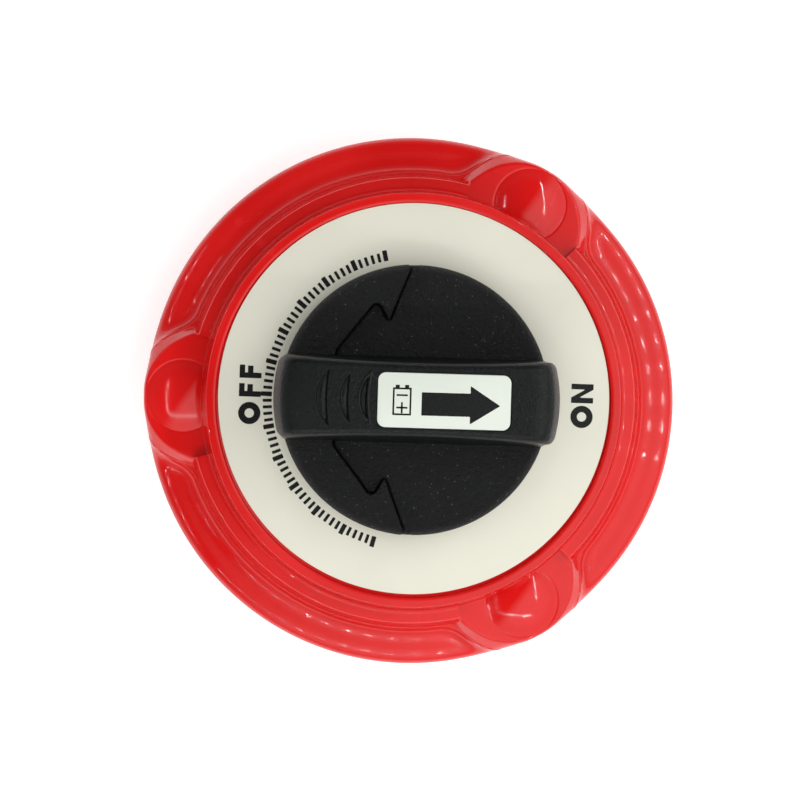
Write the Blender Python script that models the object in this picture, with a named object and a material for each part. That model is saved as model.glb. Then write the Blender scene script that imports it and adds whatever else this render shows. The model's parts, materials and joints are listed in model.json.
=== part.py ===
"""A rotary battery switch for a boat, as the separate pieces it comes apart into.

Every dimension below is in millimetres, and mesh_object() turns them into metres. The mounting plane is
z = 0, the knob turns about the Z axis, and +Z points out of the dial. At rest the arrow points along +X, to
ON; OFF is half a turn away, at -X.
"""

import math

import bmesh
import bpy
from mathutils import Matrix, Vector

MM = 0.001
GAP = 0.3  # what two pieces that touch keep between them

# Housing: flange, stepped wall, raised rim round the dial
FLANGE_R = 66.5
FLANGE_TOP = 8.0
EDGE_ROUND = 3.3
WALL_FOOT_R = 58.7
WALL_TOP_R = 54.9
LEDGE_TOP = 17.5
RIM_FOOT_R = 51.3
RIM_R = 49.4
RIM_TOP = 28.0
DIAL_R = 47.1
DIAL_FLOOR = 27.0
CAVITY_R = 46.8
CAVITY_TOP = 24.0
PAD_R = 30.0  # the ceiling is lower inside this radius
PAD_BOTTOM = 22.0
BORE_R = 9.0

# Ears: three raised lobes on the flange, each with a dome
EAR_ANGLES = (60, 180, 300)
EAR_TOP = 14.0
EAR_CENTRE_R = 49.6
EAR_LENGTH = 18.5
EAR_HALF_WIDTH = 15.1
EAR_TIP_R = 66.4
EAR_NOTCH_HALF_ANGLE = 15.8
DOME_CENTRE_R = 56.7
DOME_R = 8.4
DOME_HEIGHT = 4.6

# Fixings
CASE_SCREW_ANGLES = (0, 120, 240)
CASE_SCREW_RING_R = 40.5
CASE_BOSS_R = 3.8
CASE_HOLE_R = 1.9
INSERT_R = 3.5
INSERT_BORE_R = 2.1
INSERT_DEPTH = 10.5

# Base plate
BASE_R = 46.3
BASE_REAR = 0.8
BASE_RECESS = 2.0
BASE_EDGE_TOP = 6.8
LAND_R = 36.5
LAND_TOP = 11.15
BEARING_R = 6.3
BEARING_FLOOR = 3.6
SHOULDER_R = 11.0
SHOULDER_FLOOR = 9.6

# Terminals, 3/8 inch studs
TERMINAL_RING_R = 25.0
TERMINAL_ANGLES = (50, -50)
STUD_R = 4.76
STUD_BORE_R = 5.1
HEAD_R = 8.0
HEAD_BOTTOM = 7.45
STUD_END = -26.0
NUT_ACROSS_FLATS = 14.29
WASHER_R = 10.3
LOCK_WASHER_R = 8.65

# Rotor and what it carries
ROTOR_R = 35.5
ROTOR_BOTTOM = 11.6
ROTOR_TOP = 21.5
PIVOT_R = 6.0
PIVOT_BOTTOM = 4.0
SHAFT_R = 8.5
SHAFT_TOP = 27.9
SQUARE = 11.0
SQUARE_TOP = 37.9
BRIDGE_IN_R = 17.0
BRIDGE_OUT_R = 33.0
BRIDGE_HALF_ANGLE = 66.0
BRIDGE_BOTTOM = 11.35
BRIDGE_THICK = 3.0
CONTACT_SPRING_ANGLES = (-40, 0, 40)
BALL_RING_R = 24.0
BALL_ANGLES = (90, 270)
BALL_R = 2.25
BALL_REST_Z = 19.5
BALL_TRAVEL = 0.8
STOP_IN_R = 30.8
STOP_OUT_R = 35.0
LUG_ANGLE = 270
LUG_HALF_ANGLE = 8.0
STOP_HALF_ANGLE = 6.0
STOP_CLEARANCE = 0.6  # degrees
TURN = 180

# Knob
KNOB_R = 31.6
KNOB_BOTTOM = 28.2
DISC_TOP = 37.0
DISC_LOW = 36.0
DISC_EDGE = 1.8
HANDLE_TOP = 54.0
HANDLE_END_R = 32.1
HANDLE_BASE_HALF = 10.1
HANDLE_MID_HALF = 8.35
HANDLE_END_HALF = 9.2
HANDLE_FLAT_R = 26.4
LABEL_CENTRE_X = 6.4
LABEL_LENGTH = 30.2
LABEL_WIDTH = 13.0
LABEL_CORNER = 1.8
LABEL_FLOOR = 53.2
GROOVES = ((-20.6, 3.2, 6.1), (-15.8, 2.8, 5.3), (-11.4, 2.2, 4.8))  # each centre x, width and half length
GROOVE_DEPTH = 0.7

ROUND = 44  # sides of the large round pieces
SMALL_ROUND = 20


def clear_scene():
    for item in list(bpy.data.objects):
        bpy.data.objects.remove(item, do_unlink=True)


def material(name, color, roughness, metallic=0.0):
    made = bpy.data.materials.new(name)
    made.use_nodes = True
    shader = made.node_tree.nodes["Principled BSDF"]
    shader.inputs["Base Color"].default_value = (*color, 1.0)
    shader.inputs["Roughness"].default_value = roughness
    shader.inputs["Metallic"].default_value = metallic
    return made


def group(name, parent=None):
    made = bpy.data.objects.new(name, None)
    bpy.context.scene.collection.objects.link(made)
    made.parent = parent
    return made


def mesh_object(name, shape, mat, parent=None, origin=(0, 0, 0)):
    """An object from a bmesh in millimetres, which is measured from the object's origin."""
    bmesh.ops.recalc_face_normals(shape, faces=shape.faces)
    shape.transform(Matrix.Scale(MM, 4))
    mesh = bpy.data.meshes.new(name)
    shape.to_mesh(mesh)
    shape.free()
    mesh.shade_smooth()
    mesh.set_sharp_from_angle(angle=math.radians(30))
    if mat:
        mesh.materials.append(mat)
    made = bpy.data.objects.new(name, mesh)
    made.location = Vector(origin) * MM
    made.parent = parent
    bpy.context.scene.collection.objects.link(made)
    return made


def combine(target, operation, shapes):
    """Joins the shapes to the target (UNION), cuts them out of it (DIFFERENCE) or trims it (INTERSECT)."""
    helper = mesh_object(target.name + "_" + operation.lower(), merged(shapes), None)
    helper.hide_render = True
    helper.display_type = "WIRE"
    step = target.modifiers.new(operation.title(), "BOOLEAN")
    step.operation = operation
    step.object = helper


def merged(shapes):
    """One bmesh that holds every shape as a body of its own."""
    whole = bmesh.new()
    for shape in shapes:
        mesh = bpy.data.meshes.new("shape")
        bmesh.ops.recalc_face_normals(shape, faces=shape.faces)
        shape.to_mesh(mesh)
        shape.free()
        whole.from_mesh(mesh)
        bpy.data.meshes.remove(mesh)
    return whole


def placed(shape, radius=0.0, angle=0.0, height=0.0):
    """The shape moved out along X by radius and up by height, then turned about Z by angle degrees."""
    move = Matrix.Translation((radius, 0, height))
    shape.transform(Matrix.Rotation(math.radians(angle), 4, "Z") @ move)
    return shape


def polar(radius, angle, height=0.0):
    turn = math.radians(angle)
    return (radius * math.cos(turn), radius * math.sin(turn), height)


def arc(centre, radii, start, end, steps):
    """Points on an ellipse's arc, from start to end in degrees."""
    points = []
    for step in range(steps + 1):
        turn = math.radians(start + (end - start) * step / steps)
        points.append((centre[0] + radii[0] * math.cos(turn), centre[1] + radii[1] * math.sin(turn)))
    return points


def loft(loops, cap=True):
    """Skins a row of loops with the same number of points. Without caps the last loop joins the first."""
    shape = bmesh.new()
    rings = [[shape.verts.new(point) for point in loop] for loop in loops]
    pairs = list(zip(rings, rings[1:])) if cap else list(zip(rings, rings[1:] + rings[:1]))
    for ring, following in pairs:
        for k in range(len(ring)):
            after = (k + 1) % len(ring)
            shape.faces.new((ring[k], ring[after], following[after], following[k]))
    if cap:
        shape.faces.new(rings[0])
        shape.faces.new(rings[-1])
    return shape


def revolve(outline, sides=ROUND):
    """Turns a closed outline of (radius, height) points about the Z axis."""
    shape = bmesh.new()
    rings = []
    for radius, height in outline:
        count = sides if radius > 0 else 1
        rings.append([shape.verts.new(polar(radius, 360 * k / sides, height)) for k in range(count)])
    for ring, following in zip(rings, rings[1:] + rings[:1]):
        for k in range(sides):
            corners = [ring[k % len(ring)], ring[(k + 1) % len(ring)]]
            corners += [following[(k + 1) % len(following)], following[k % len(following)]]
            corners = list(dict.fromkeys(corners))
            if len(corners) > 2:
                shape.faces.new(corners)
    return shape


def sector(outline, start, end, steps):
    """Turns a closed outline of (radius, height) points from the start angle to the end angle."""
    angles = [start + (end - start) * k / steps for k in range(steps + 1)]
    return loft([[polar(radius, angle, height) for radius, height in outline] for angle in angles])


def ring_sector(inner, outer, low, high, centre, half_angle, steps):
    outline = ((inner, low), (outer, low), (outer, high), (inner, high))
    return sector(outline, centre - half_angle, centre + half_angle, steps)


def prism(outline, low, high):
    return loft([[(x, y, low) for x, y in outline], [(x, y, high) for x, y in outline]])


def cylinder(radius, low, high, sides=SMALL_ROUND):
    return prism(arc((0, 0), (radius, radius), 0, 360 * (sides - 1) / sides, sides - 1), low, high)


def block(x_range, y_range, z_range):
    left, right = x_range
    near, far = y_range
    return prism(((left, near), (right, near), (right, far), (left, far)), *z_range)


def ring_washer(inner, outer, low, high):
    return revolve(((inner, low), (outer, low), (outer, high), (inner, high)), SMALL_ROUND)


def seal_ring(ring_r, cord_r, height, sides):
    outline = [(ring_r + x, height + z) for x, z in arc((0, 0), (cord_r, cord_r), 0, 300, 5)]
    return revolve(outline, sides)


def coil(ring_r, wire_r, low, high, turns):
    """A spring from a round wire, with its ends' outsides at the heights low and high."""
    steps = turns * 8
    loops = []
    for k in range(steps + 1):
        angle = 360 * turns * k / steps
        height = low + wire_r + (high - low - 2 * wire_r) * k / steps
        section = arc((0, 0), (wire_r, wire_r), 0, 288, 4)
        loops.append([polar(ring_r + x, angle, height + z) for x, z in section])
    return loft(loops)


def cross_recess(height, depth, reach, width):
    """Two crossed blocks that sink a screwdriver's recess downwards from height."""
    along = block((-reach, reach), (-width / 2, width / 2), (height - depth, height + 1))
    across = block((-width / 2, width / 2), (-reach, reach), (height - depth, height + 1))
    return along, across


def housing_outline():
    edge_centre = (FLANGE_R - EDGE_ROUND, FLANGE_TOP - EDGE_ROUND)
    outline = [(CAVITY_R, 0), (FLANGE_R, 0)] + arc(edge_centre, (EDGE_ROUND, EDGE_ROUND), 0, 90, 3)
    outline += [(WALL_FOOT_R + 1.4, FLANGE_TOP), (WALL_FOOT_R, FLANGE_TOP + 1.0)]
    outline += [(WALL_TOP_R, LEDGE_TOP - 0.8), (WALL_TOP_R - 0.9, LEDGE_TOP)]
    outline += [(RIM_FOOT_R, LEDGE_TOP), (RIM_R + 0.15, RIM_TOP - 0.6), (RIM_R - 0.3, RIM_TOP)]
    outline += [(DIAL_R + 0.1, RIM_TOP), (DIAL_R, DIAL_FLOOR), (BORE_R, DIAL_FLOOR), (BORE_R, PAD_BOTTOM)]
    outline += [(PAD_R, PAD_BOTTOM), (PAD_R, CAVITY_TOP), (CAVITY_R, CAVITY_TOP)]
    return outline


def ear_loop(growth, height, clip_r, points=36):
    """The ear's outline, grown sideways and kept within a circle about the switch's axis."""
    loop = []
    radii = (EAR_LENGTH + growth, EAR_HALF_WIDTH + growth)
    for x, y in arc((0, 0), radii, 0, 360 - 360 / points, points - 1):
        point = Vector((EAR_CENTRE_R + max(x, -2.0), y))
        if point.length > clip_r:
            point = point.normalized() * clip_r
        loop.append((point.x, point.y, height))
    return loop


def ear():
    """The ear's foot spreads onto the flange, but stays inside its round edge."""
    foot_r = EAR_TIP_R - 0.2
    loops = [ear_loop(4.6, 0.5, foot_r), ear_loop(4.6, FLANGE_TOP - 0.2, foot_r)]
    loops += [ear_loop(3.3, FLANGE_TOP + 0.6, foot_r), ear_loop(2.5, FLANGE_TOP + 1.8, EAR_TIP_R)]
    loops += [ear_loop(0.6, EAR_TOP - 0.6, EAR_TIP_R), ear_loop(0.0, EAR_TOP, EAR_TIP_R - 0.5)]
    return loft(loops)


def dome():
    ball_r = (DOME_R ** 2 + DOME_HEIGHT ** 2) / (2 * DOME_HEIGHT)
    centre = (0, EAR_TOP + DOME_HEIGHT - ball_r)
    foot = math.degrees(math.asin((ball_r - DOME_HEIGHT) / ball_r))
    outline = [(0, EAR_TOP - 1), (DOME_R, EAR_TOP - 1)] + arc(centre, (ball_r, ball_r), foot, 90, 3)
    outline[-1] = (0, EAR_TOP + DOME_HEIGHT)
    return revolve(outline, SMALL_ROUND)


def flange_pockets():
    """The hollows in the flange's back, four between each two ears, with ribs between them."""
    outline = ((50.0, -1), (62.6, -1), (62.6, 4.4), (56.6, 5.2), (52.6, 13.3), (50.0, 13.3))
    pockets = []
    for ear_angle in EAR_ANGLES:
        for start in (22, 41.5, 61, 80.5):
            pockets.append(sector(outline, ear_angle + start, ear_angle + start + 17.5, 2))
    return pockets


def make_housing(mat, parent):
    housing = mesh_object("housing", revolve(housing_outline(), 60), mat, parent)
    notches = []
    for angle in EAR_ANGLES:
        notch = (51.6, 62.0, EAR_TOP - 0.1, LEDGE_TOP + 2)
        notches.append(ring_sector(*notch, angle, EAR_NOTCH_HALF_ANGLE, 7))
    combine(housing, "DIFFERENCE", notches)
    combine(housing, "UNION", [placed(ear(), 0, angle) for angle in EAR_ANGLES])
    combine(housing, "UNION", [placed(dome(), DOME_CENTRE_R, angle) for angle in EAR_ANGLES])
    combine(housing, "DIFFERENCE", flange_pockets())
    bosses = []
    webs = []
    for angle in CASE_SCREW_ANGLES:
        boss = cylinder(CASE_BOSS_R, BASE_EDGE_TOP + GAP, CAVITY_TOP + 0.5)
        bosses.append(placed(boss, CASE_SCREW_RING_R, angle))
        web = block((CASE_SCREW_RING_R, CAVITY_R + 0.6), (-1.5, 1.5), (9, CAVITY_TOP + 0.4))
        webs.append(placed(web, 0, angle))
    combine(housing, "UNION", bosses)
    combine(housing, "UNION", webs)
    stops = []
    for side in (-1, 1):
        centre = side * (TURN / 2 + LUG_HALF_ANGLE + STOP_CLEARANCE + STOP_HALF_ANGLE)
        stop = (STOP_IN_R, STOP_OUT_R, ROTOR_TOP + 0.4, CAVITY_TOP + 0.5)
        stops.append(ring_sector(*stop, centre, STOP_HALF_ANGLE, 2))
    combine(housing, "UNION", stops)
    holes = []
    for angle in CASE_SCREW_ANGLES:
        holes.append(placed(cylinder(CASE_HOLE_R, 6, 17.5, 16), CASE_SCREW_RING_R, angle))
    for angle in EAR_ANGLES:
        hole = placed(cylinder(INSERT_R + GAP, -1, INSERT_DEPTH + 0.7), angle=4)
        holes.append(placed(hole, DOME_CENTRE_R, angle))
    for angle in BALL_ANGLES:
        dimple = bmesh.new()
        bmesh.ops.create_uvsphere(dimple, u_segments=12, v_segments=8, radius=BALL_R + GAP)
        holes.append(placed(dimple, BALL_RING_R, angle, BALL_REST_Z + BALL_TRAVEL))
    combine(housing, "DIFFERENCE", holes)


def make_base_plate(mat, parent):
    outline = [(0, BASE_RECESS), (42.5, BASE_RECESS), (42.5, BASE_REAR), (BASE_R - 0.5, BASE_REAR)]
    outline += [(BASE_R, BASE_REAR + 0.5), (BASE_R, 3.0), (44.9, 3.0), (44.9, 5.0), (BASE_R, 5.0)]
    outline += [(BASE_R, BASE_EDGE_TOP), (LAND_R, BASE_EDGE_TOP), (LAND_R, LAND_TOP), (SHOULDER_R, LAND_TOP)]
    outline += [(SHOULDER_R, SHOULDER_FLOOR), (BEARING_R, SHOULDER_FLOOR), (BEARING_R, BEARING_FLOOR)]
    outline += [(0, BEARING_FLOOR)]
    base = mesh_object("base_plate", revolve(outline), mat, parent)
    ribs = []
    screw_pads = []
    holes = []
    for angle in CASE_SCREW_ANGLES:
        rib = block((8, 42.7), (-1.3, 1.3), (BASE_REAR + 0.2, BASE_RECESS + 0.6))
        ribs.append(placed(rib, 0, angle))
        pad = cylinder(5.2, BASE_REAR, BASE_RECESS + 0.3)
        screw_pads.append(placed(pad, CASE_SCREW_RING_R - 1, angle))
        hole = ((0, -1), (3.5, -1), (3.5, 3.6), (CASE_HOLE_R, 3.6), (CASE_HOLE_R, 8), (0, 8))
        holes.append(placed(revolve(hole, SMALL_ROUND), CASE_SCREW_RING_R, angle))
    pads = [cylinder(9.0, BASE_REAR, BASE_RECESS + 0.5)]
    for angle in TERMINAL_ANGLES:
        pads.append(placed(cylinder(11.5, BASE_REAR, BASE_RECESS + 0.4), TERMINAL_RING_R, angle))
        floor = HEAD_BOTTOM - GAP
        room_r = HEAD_R + GAP
        hole = [(0, -1), (STUD_BORE_R, -1), (STUD_BORE_R, floor), (room_r, floor)]
        hole += [(room_r, LAND_TOP + 1), (0, LAND_TOP + 1)]
        holes.append(placed(revolve(hole, SMALL_ROUND), TERMINAL_RING_R, angle))
    combine(base, "UNION", ribs)
    combine(base, "UNION", pads)
    combine(base, "UNION", screw_pads)
    combine(base, "DIFFERENCE", holes)


def hex_nut(low, high):
    """A nut with its corners chamfered on both faces and a plain bore."""
    corner_r = NUT_ACROSS_FLATS / 2 / math.cos(math.radians(30))
    flat_r = NUT_ACROSS_FLATS / 2
    drop = (corner_r - flat_r) * math.tan(math.radians(30))
    loops = []
    for height, radius in ((low, flat_r), (low + drop, corner_r), (high - drop, corner_r), (high, flat_r)):
        loop = []
        for k in range(24):
            angle = 15 * k
            side_r = flat_r / math.cos(math.radians((angle + 30) % 60 - 30))
            loop.append(polar(min(side_r, radius), angle, height))
        loops.append(loop)
    for height in (high, low):
        loops.append([polar(STUD_BORE_R, 15 * k, height) for k in range(24)])
    return loft(loops, cap=False)


def flat_washer(low, high):
    return ring_washer(STUD_BORE_R, WASHER_R, low, high)


def split_washer(low, high, rise=0.5, steps=24):
    """A spring washer, cut through and wound a little, so its two ends stand apart."""
    loops = []
    for k in range(steps + 1):
        foot = low + rise * k / steps
        top = foot + high - low - rise
        section = ((STUD_BORE_R, foot), (LOCK_WASHER_R, foot), (LOCK_WASHER_R, top), (STUD_BORE_R, top))
        loops.append([polar(radius, 8 + 344 * k / steps, height) for radius, height in section])
    return loft(loops)


def make_terminal(number, angle, copper, steel, parent):
    at = polar(TERMINAL_RING_R, angle)
    stud = [(0, STUD_END), (STUD_R - 1.0, STUD_END), (STUD_R, STUD_END + 1.0), (STUD_R, HEAD_BOTTOM)]
    stud += [(HEAD_R, HEAD_BOTTOM), (HEAD_R, LAND_TOP - 0.3), (HEAD_R - 0.3, LAND_TOP), (0, LAND_TOP)]
    mesh_object(f"terminal_stud_{number}", revolve(stud, SMALL_ROUND), copper, parent, at)
    stack = BASE_REAR - GAP
    for name, thick, shape in (
        ("clamp_washer", 1.6, flat_washer),
        ("clamp_nut", 5.5, hex_nut),
        ("terminal_washer", 1.6, flat_washer),
        ("lock_washer", 2.6, split_washer),
        ("terminal_nut", 8.3, hex_nut),
    ):
        mesh_object(f"{name}_{number}", shape(stack - thick, stack), steel, parent, at)
        stack -= thick + GAP


def make_case_screw(number, angle, mat, parent):
    outline = [(0, 1.2), (2.4, 1.2), (3.1, 1.8), (3.1, 3.3)]
    outline += [(1.55, 3.3), (1.55, 15.2), (0.8, 16.4), (0, 16.4)]
    at = polar(CASE_SCREW_RING_R, angle)
    screw = mesh_object(f"case_screw_{number}", revolve(outline, 16), mat, parent, at)
    recess = cross_recess(2.2, 1.4, 1.8, 0.7)
    combine(screw, "DIFFERENCE", [placed(recess[0], CASE_SCREW_RING_R, angle)])
    combine(screw, "DIFFERENCE", [placed(recess[1], CASE_SCREW_RING_R, angle)])


def make_rotor(mat, parent):
    outline = [(0, PIVOT_BOTTOM), (PIVOT_R - 0.5, PIVOT_BOTTOM), (PIVOT_R, PIVOT_BOTTOM + 0.5)]
    outline += [(PIVOT_R, ROTOR_BOTTOM), (ROTOR_R, ROTOR_BOTTOM), (ROTOR_R, ROTOR_TOP), (SHAFT_R, ROTOR_TOP)]
    outline += [(SHAFT_R, 24.1), (6.9, 24.1), (6.9, 26.1), (SHAFT_R, 26.1), (SHAFT_R, SHAFT_TOP), (0, SHAFT_TOP)]
    rotor = mesh_object("rotor", revolve(outline), mat, parent)
    half = SQUARE / 2
    additions = [block((-half, half), (-half, half), (SHAFT_TOP - 1, SQUARE_TOP))]
    lug = (STOP_IN_R, STOP_OUT_R, ROTOR_TOP - 0.5, CAVITY_TOP - 0.5)
    additions.append(ring_sector(*lug, LUG_ANGLE, LUG_HALF_ANGLE, 3))
    combine(rotor, "UNION", additions)
    pocket_top = BRIDGE_BOTTOM + BRIDGE_THICK + 0.45
    pocket = (BRIDGE_IN_R - 0.4, BRIDGE_OUT_R + 0.4, ROTOR_BOTTOM - 1, pocket_top)
    combine(rotor, "DIFFERENCE", [ring_sector(*pocket, 0, BRIDGE_HALF_ANGLE + 1, 13)])
    holes = []
    for angle in CONTACT_SPRING_ANGLES:
        holes.append(placed(cylinder(3.3, 14, 20, 16), TERMINAL_RING_R, angle))
    for angle in BALL_ANGLES:
        holes.append(placed(cylinder(BALL_R + 0.35, 12.8, ROTOR_TOP + 1, 16), BALL_RING_R, angle))
    holes.append(cylinder(3.7, 29.5, SQUARE_TOP + 1))
    combine(rotor, "DIFFERENCE", holes)


def make_bridge(mat, parent):
    low = BRIDGE_BOTTOM
    high = BRIDGE_BOTTOM + BRIDGE_THICK
    outline = ((BRIDGE_IN_R, low), (BRIDGE_OUT_R, low), (BRIDGE_OUT_R, high), (BRIDGE_IN_R, high))
    mesh_object("contact_bridge", sector(outline, -BRIDGE_HALF_ANGLE, BRIDGE_HALF_ANGLE, 16), mat, parent)


def handle_half_width(x):
    return HANDLE_MID_HALF + (HANDLE_END_HALF - HANDLE_MID_HALF) * (x / HANDLE_END_R) ** 2


def handle_height(x, y):
    """The handle's top: flat in the middle, then falling away towards the ends."""
    beyond = max(0.0, math.hypot(x, y) - HANDLE_FLAT_R)
    return HANDLE_TOP - 0.06 * beyond ** 2 - 0.0019 * beyond ** 4


def handle():
    loops = []
    for x in (-33, -31.2, -29.8, -28, -26, -20, -10, 0, 10, 20, 26, 28, 29.8, 31.2, 33):
        half = handle_half_width(x)
        side = [(HANDLE_BASE_HALF, 34.5), (HANDLE_BASE_HALF, 37.2), (HANDLE_BASE_HALF - 0.5, 38.4)]
        side += [(half, -1.8), (half - 0.5, -0.6), (half - 1.6, 0.0), (half * 0.45, 0.0)]
        right = [(x, y, z if z > 1 else handle_height(x, y) + z) for y, z in side]
        left = [(x, -y, z) for _, y, z in reversed(right)]
        loops.append(right + left)
    return loft(loops)


def low_area():
    """The part of the knob's disc that lies a step lower: all but the two wings at the tail of the arrow."""
    upper = [(-19.0, 0), (-19.0, 9.5), (-18.6, 11.6)]
    upper += arc((-9.4, 21.3), (1.5, 1.5), 145, 35, 4)
    upper += [(-6.6, 18.5), (-1.7, 31.3), (-1.5, 34.0), (34.0, 34.0)]
    lower = [(x, -y) for x, y in reversed(upper[1:])]
    return upper + lower


def rounded_rectangle(centre_x, length, width, corner):
    outline = []
    for quarter, (x_side, y_side) in enumerate(((1, 1), (-1, 1), (-1, -1), (1, -1))):
        centre = (centre_x + x_side * (length / 2 - corner), y_side * (width / 2 - corner))
        outline += arc(centre, (corner, corner), 90 * quarter, 90 * quarter + 90, 4)
    return outline


def groove(centre_x, width, half_length):
    """A crescent bowed away from the knob's middle, with round ends."""
    outer = arc((centre_x, 0), (-width / 2, half_length), 60, -60, 6)
    inner = arc((centre_x + width * 0.62, 0), (-width * 0.24, half_length * 0.86), -75, 75, 6)
    return outer + inner


def make_knob(mat, parent):
    outline = [(0, KNOB_BOTTOM), (KNOB_R - 0.6, KNOB_BOTTOM), (KNOB_R, KNOB_BOTTOM + 0.6)]
    outline += arc((KNOB_R - DISC_EDGE, DISC_TOP - DISC_EDGE), (DISC_EDGE, DISC_EDGE), 0, 90, 3)
    outline += [(0, DISC_TOP)]
    knob = mesh_object("knob", revolve(outline, 48), mat, parent)
    combine(knob, "DIFFERENCE", [prism(low_area(), DISC_LOW, DISC_TOP + 2)])
    bar = mesh_object("knob_bar", handle(), None)
    bar.hide_render = True
    bar.display_type = "WIRE"
    combine(bar, "INTERSECT", [cylinder(HANDLE_END_R, 34, 60, ROUND)])
    step = knob.modifiers.new("Bar", "BOOLEAN")
    step.operation = "UNION"
    step.object = bar
    below = KNOB_BOTTOM - 1
    trough = revolve(((10.5, below), (29.0, below), (29.0, 33.4), (10.5, 33.4)), 32)
    combine(knob, "DIFFERENCE", [placed(trough, angle=3)])  # turned, so its sides don't meet the disc's edges
    hollows = [block(reach, (-5.8, 5.8), (33, 50.4)) for reach in ((11, 27), (-27, -11))]
    combine(knob, "DIFFERENCE", hollows)
    socket = SQUARE / 2 + GAP
    through = [(0, 37), (2.5, 37), (2.5, 41.5), (5.3, 41.5), (5.3, HANDLE_TOP + 1), (0, HANDLE_TOP + 1)]
    square_hole = block((-socket, socket), (-socket, socket), (below, SQUARE_TOP + GAP))
    combine(knob, "DIFFERENCE", [square_hole])
    combine(knob, "DIFFERENCE", [placed(revolve(through, SMALL_ROUND), angle=4)])
    room = (LABEL_CENTRE_X, LABEL_LENGTH + 2 * GAP, LABEL_WIDTH + 2 * GAP, LABEL_CORNER + GAP)
    marks = [prism(rounded_rectangle(*room), LABEL_FLOOR, HANDLE_TOP + 1)]
    marks += [prism(groove(*place), HANDLE_TOP - GROOVE_DEPTH, HANDLE_TOP + 1) for place in GROOVES]
    combine(knob, "DIFFERENCE", marks)


def make_knob_fixings(steel, brass, white, parent):
    plate = rounded_rectangle(LABEL_CENTRE_X, LABEL_LENGTH, LABEL_WIDTH, LABEL_CORNER)
    mesh_object("knob_label", prism(plate, LABEL_FLOOR + GAP, HANDLE_TOP), white, parent)
    mesh_object("knob_washer", ring_washer(2.5, 4.9, 41.8, 42.6), steel, parent)
    head = [(4.3, 42.9), (4.3, 44.8), (3.4, 45.8), (0, 46.1)]
    shank = [(0, 30.6), (1.6, 30.6), (2.2, 31.2), (2.2, 42.9)]
    screw = mesh_object("knob_screw", revolve(shank + head, 20), steel, parent)
    recess = cross_recess(46.1, 1.9, 2.3, 0.9)
    combine(screw, "DIFFERENCE", [recess[0]])
    combine(screw, "DIFFERENCE", [recess[1]])
    mesh_object("rotor_insert", ring_washer(2.5, 3.4, 29.8, 37.6), brass, parent)


def make_detent(number, angle, steel, parent):
    at = polar(BALL_RING_R, angle, BALL_REST_Z)
    slide = group(f"detent_slide_{number}", parent)
    ball = bmesh.new()
    bmesh.ops.create_uvsphere(ball, u_segments=12, v_segments=8, radius=BALL_R)
    mesh_object(f"detent_ball_{number}", ball, steel, slide, at)
    spring = coil(1.7, 0.32, 13.1, BALL_REST_Z - BALL_R - 0.2, 3)
    mesh_object(f"detent_spring_{number}", spring, steel, parent, polar(BALL_RING_R, angle))


def main():
    clear_scene()
    red = material("red_gloss_plastic", (0.62, 0.012, 0.010), 0.18)
    cream = material("cream_label", (0.76, 0.76, 0.66), 0.45)
    black = material("black_textured_plastic", (0.012, 0.013, 0.013), 0.5)
    white = material("white_label", (0.82, 0.87, 0.80), 0.4)
    dark = material("black_phenolic", (0.02, 0.02, 0.02), 0.55)
    nylon = material("white_nylon", (0.70, 0.69, 0.64), 0.5)
    rubber = material("black_rubber", (0.015, 0.015, 0.015), 0.8)
    copper = material("copper", (0.72, 0.30, 0.17), 0.3, 1.0)
    brass = material("brass", (0.72, 0.52, 0.22), 0.3, 1.0)
    steel = material("stainless_steel", (0.60, 0.60, 0.60), 0.3, 1.0)

    body = group("switch_body")
    selector = group("selector_axis")

    make_housing(red, body)
    dial = ((11.9, 27.3), (46.6, 27.3), (46.6, 27.7), (11.9, 27.7))
    mesh_object("dial_label", revolve(dial), cream, body)
    make_base_plate(dark, body)
    mesh_object("base_seal", seal_ring(45.85, 0.75, 4.0, 40), rubber, body)
    mesh_object("thrust_washer", ring_washer(6.4, 10.7, 9.9, 11.3), nylon, body)
    for number, angle in enumerate(TERMINAL_ANGLES, 1):
        make_terminal(number, angle, copper, steel, body)
    for number, angle in enumerate(CASE_SCREW_ANGLES, 1):
        make_case_screw(number, angle, steel, body)
    for number, angle in enumerate(EAR_ANGLES, 1):
        insert = ring_washer(INSERT_BORE_R, INSERT_R, 0.3, INSERT_DEPTH)
        mesh_object(f"mount_insert_{number}", insert, brass, body, polar(DOME_CENTRE_R, angle))

    make_rotor(nylon, selector)
    mesh_object("shaft_seal", seal_ring(7.95, 0.8, 25.1, 24), rubber, selector)
    make_bridge(copper, selector)
    for number, angle in enumerate(CONTACT_SPRING_ANGLES, 1):
        at = polar(TERMINAL_RING_R, angle)
        mesh_object(f"contact_spring_{number}", coil(2.3, 0.42, 14.65, 19.7, 3), steel, selector, at)
    for number, angle in enumerate(BALL_ANGLES, 1):
        make_detent(number, angle, steel, selector)
    make_knob(black, selector)
    make_knob_fixings(steel, brass, white, selector)


main()
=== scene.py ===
"""The looks of the rotary battery switch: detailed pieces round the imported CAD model, materials, light and camera.

Sizes are in millimetres in the code and become metres in mesh_piece(). +Z points out of the dial.
"""

import json
import math

import bmesh
import bpy
import numpy as np
from mathutils import Matrix, Vector
from mathutils.geometry import tessellate_polygon


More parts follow.
